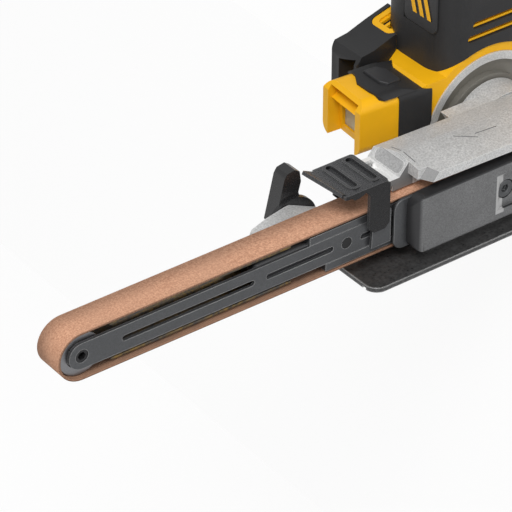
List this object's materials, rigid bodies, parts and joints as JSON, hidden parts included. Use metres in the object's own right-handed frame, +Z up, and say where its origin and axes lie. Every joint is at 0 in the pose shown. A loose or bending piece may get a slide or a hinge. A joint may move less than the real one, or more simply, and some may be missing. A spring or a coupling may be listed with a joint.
{
  "type": "power file",
  "caption": "Cordless power file: a narrow abrasive belt on a slim slotted arm, a tilting drive head with tension lever and tracking knob, motor tower with lamp, and a rear battery grip.",
  "frame": {"origin": "under the middle of the bounding box, on the plane the base stands on", "axes": "+X from the belt tip towards the battery, +Z up, the belt arm on the -Y side of the motor body"},
  "size_m": [0.4124, 0.1028, 0.126],
  "materials": {
    "yellow_shell": "fine-textured moulded plastic",
    "yellow_latch": "smooth moulded plastic",
    "rubber_black": "matt soft-grip rubber",
    "plastic_black": "fine-textured moulded plastic",
    "plastic_charcoal": "fine-textured moulded plastic",
    "cast_alloy": "bead-blasted casting",
    "cover_grey": "satin grey",
    "steel_black": "black phosphated steel",
    "steel_bright": "ground steel",
    "steel_dark": "oiled steel",
    "drive_rubber": "ribbed rubber tyre",
    "abrasive_cloth": "coarse aluminium-oxide grit on cloth",
    "winding": "lacquered copper and laminations",
    "lamp_clear": "clear",
    "board_green": "solder-masked",
    "cell_wrap": "shrink wrap"
  },
  "bodies": {
    "body": {"gear_case": "cast_alloy", "shell_near": "yellow_shell", "shell_far": "yellow_shell", "nose_overmould": "rubber_black", "badge_plate": "plastic_black", "inlet_hood": "plastic_black", "inlet_grille": "yellow_shell", "lamp_housing": "yellow_shell", "lamp_cap": "rubber_black", "lamp_lens": "lamp_clear", "lamp_board": "board_green", "motor_stator": "winding", "motor_bearings": "steel_bright", "trigger_switch": "plastic_black", "grip_overmould": "rubber_black", "control_board": "board_green", "terminal_block": "plastic_black", "housing_screws": "steel_bright"},
    "head": {"belt_housing": "cast_alloy", "inner_plate": "steel_black", "side_cover": "cover_grey", "cover_screw": "steel_black", "deflector_plate": "steel_black", "deflector_screws": "steel_black", "abrasive_belt": "abrasive_cloth", "arm_guide": "steel_black", "tension_spring": "steel_bright", "head_bearings": "steel_bright", "pivot_ring": "steel_bright"},
    "arm": {"arm_plate": "steel_black", "arm_channel": "steel_black", "arm_tang": "steel_black", "arm_rivets": "steel_black", "tip_axle": "steel_black"},
    "roller": {"tip_roller": "steel_dark", "tip_bearings": "steel_bright"},
    "lever": {"tension_lever": "steel_black", "lever_pins": "steel_bright"},
    "knob": {"tracking_knob": "plastic_black", "tracking_screw": "steel_bright"},
    "drive": {"drive_pulley": "drive_rubber", "drive_shaft": "steel_bright", "bevel_gear": "steel_dark"},
    "rotor": {"motor_shaft": "steel_bright", "rotor_core": "steel_dark", "motor_fan": "plastic_black", "bevel_pinion": "steel_dark"},
    "trigger": {"trigger": "plastic_black"},
    "lock": {"lock_button": "plastic_black"},
    "lamp_switch": {"lamp_button": "plastic_charcoal"},
    "battery": {"battery_case": "plastic_charcoal", "battery_lid": "plastic_charcoal", "battery_cells": "cell_wrap"},
    "latch": {"battery_latch": "yellow_latch"}
  },
  "joints": [
    {"name": "head_pivot", "type": "hinge", "parent": "body", "child": "head", "pos_m": [0.00323, -0.0144, 0.03], "axis": [0, 1, 0], "range_deg": [-60, 60]},
    {"name": "drive_spin", "type": "hinge", "parent": "head", "child": "drive", "pos_m": [0.00323, -0.0344, 0.03], "axis": [0, 1, 0], "continuous": true},
    {"name": "arm_slide", "type": "slide", "parent": "head", "child": "arm", "axis": [1, 0, 0], "range_m": [0, 0.006], "stiffness_N_per_m": 300, "springref_m": -0.006, "deforming": ["tension_spring"]},
    {"name": "roller_spin", "type": "hinge", "parent": "arm", "child": "roller", "pos_m": [-0.19678, -0.0344, 0.03], "axis": [0, 1, 0], "continuous": true},
    {"name": "lever_lift", "type": "hinge", "parent": "head", "child": "lever", "pos_m": [-0.07328, -0.0344, 0.039], "axis": [0, 1, 0], "range_deg": [0, 30]},
    {"name": "knob_turn", "type": "hinge", "parent": "head", "child": "knob", "pos_m": [-0.09377, -0.0164, 0.03], "axis": [0, 1, 0], "range_deg": [-60, 60]},
    {"name": "rotor_spin", "type": "hinge", "parent": "body", "child": "rotor", "pos_m": [0.00323, 0.0139, 0.07], "axis": [0, 0, 1], "continuous": true},
    {"name": "trigger_pull", "type": "slide", "parent": "body", "child": "trigger", "axis": [0, 0, 1], "range_m": [0, 0.006], "stiffness_N_per_m": 400, "springref_m": -0.003},
    {"name": "lock_press", "type": "slide", "parent": "body", "child": "lock", "axis": [0, 1, 0], "range_m": [0, 0.003], "stiffness_N_per_m": 300, "springref_m": -0.002},
    {"name": "lamp_press", "type": "slide", "parent": "body", "child": "lamp_switch", "axis": [-0.1736, 0, -0.9848], "range_m": [0, 0.0006], "stiffness_N_per_m": 400, "springref_m": -0.0005},
    {"name": "battery_slide", "type": "slide", "parent": "body", "child": "battery", "axis": [0, 0, 1], "range_m": [0, 0.06]},
    {"name": "latch_press", "type": "slide", "parent": "battery", "child": "latch", "axis": [0, 0, -1], "range_m": [0, 0.003], "stiffness_N_per_m": 500, "springref_m": -0.002}
  ],
  "couplings": [
    {"joint": "lever_lift", "follows": "arm_slide", "rad_per_m": 87.266},
    {"joint": "drive_spin", "follows": "rotor_spin", "ratio": 0.4603},
    {"joint": "roller_spin", "follows": "rotor_spin", "ratio": 0.4872}
  ]
}
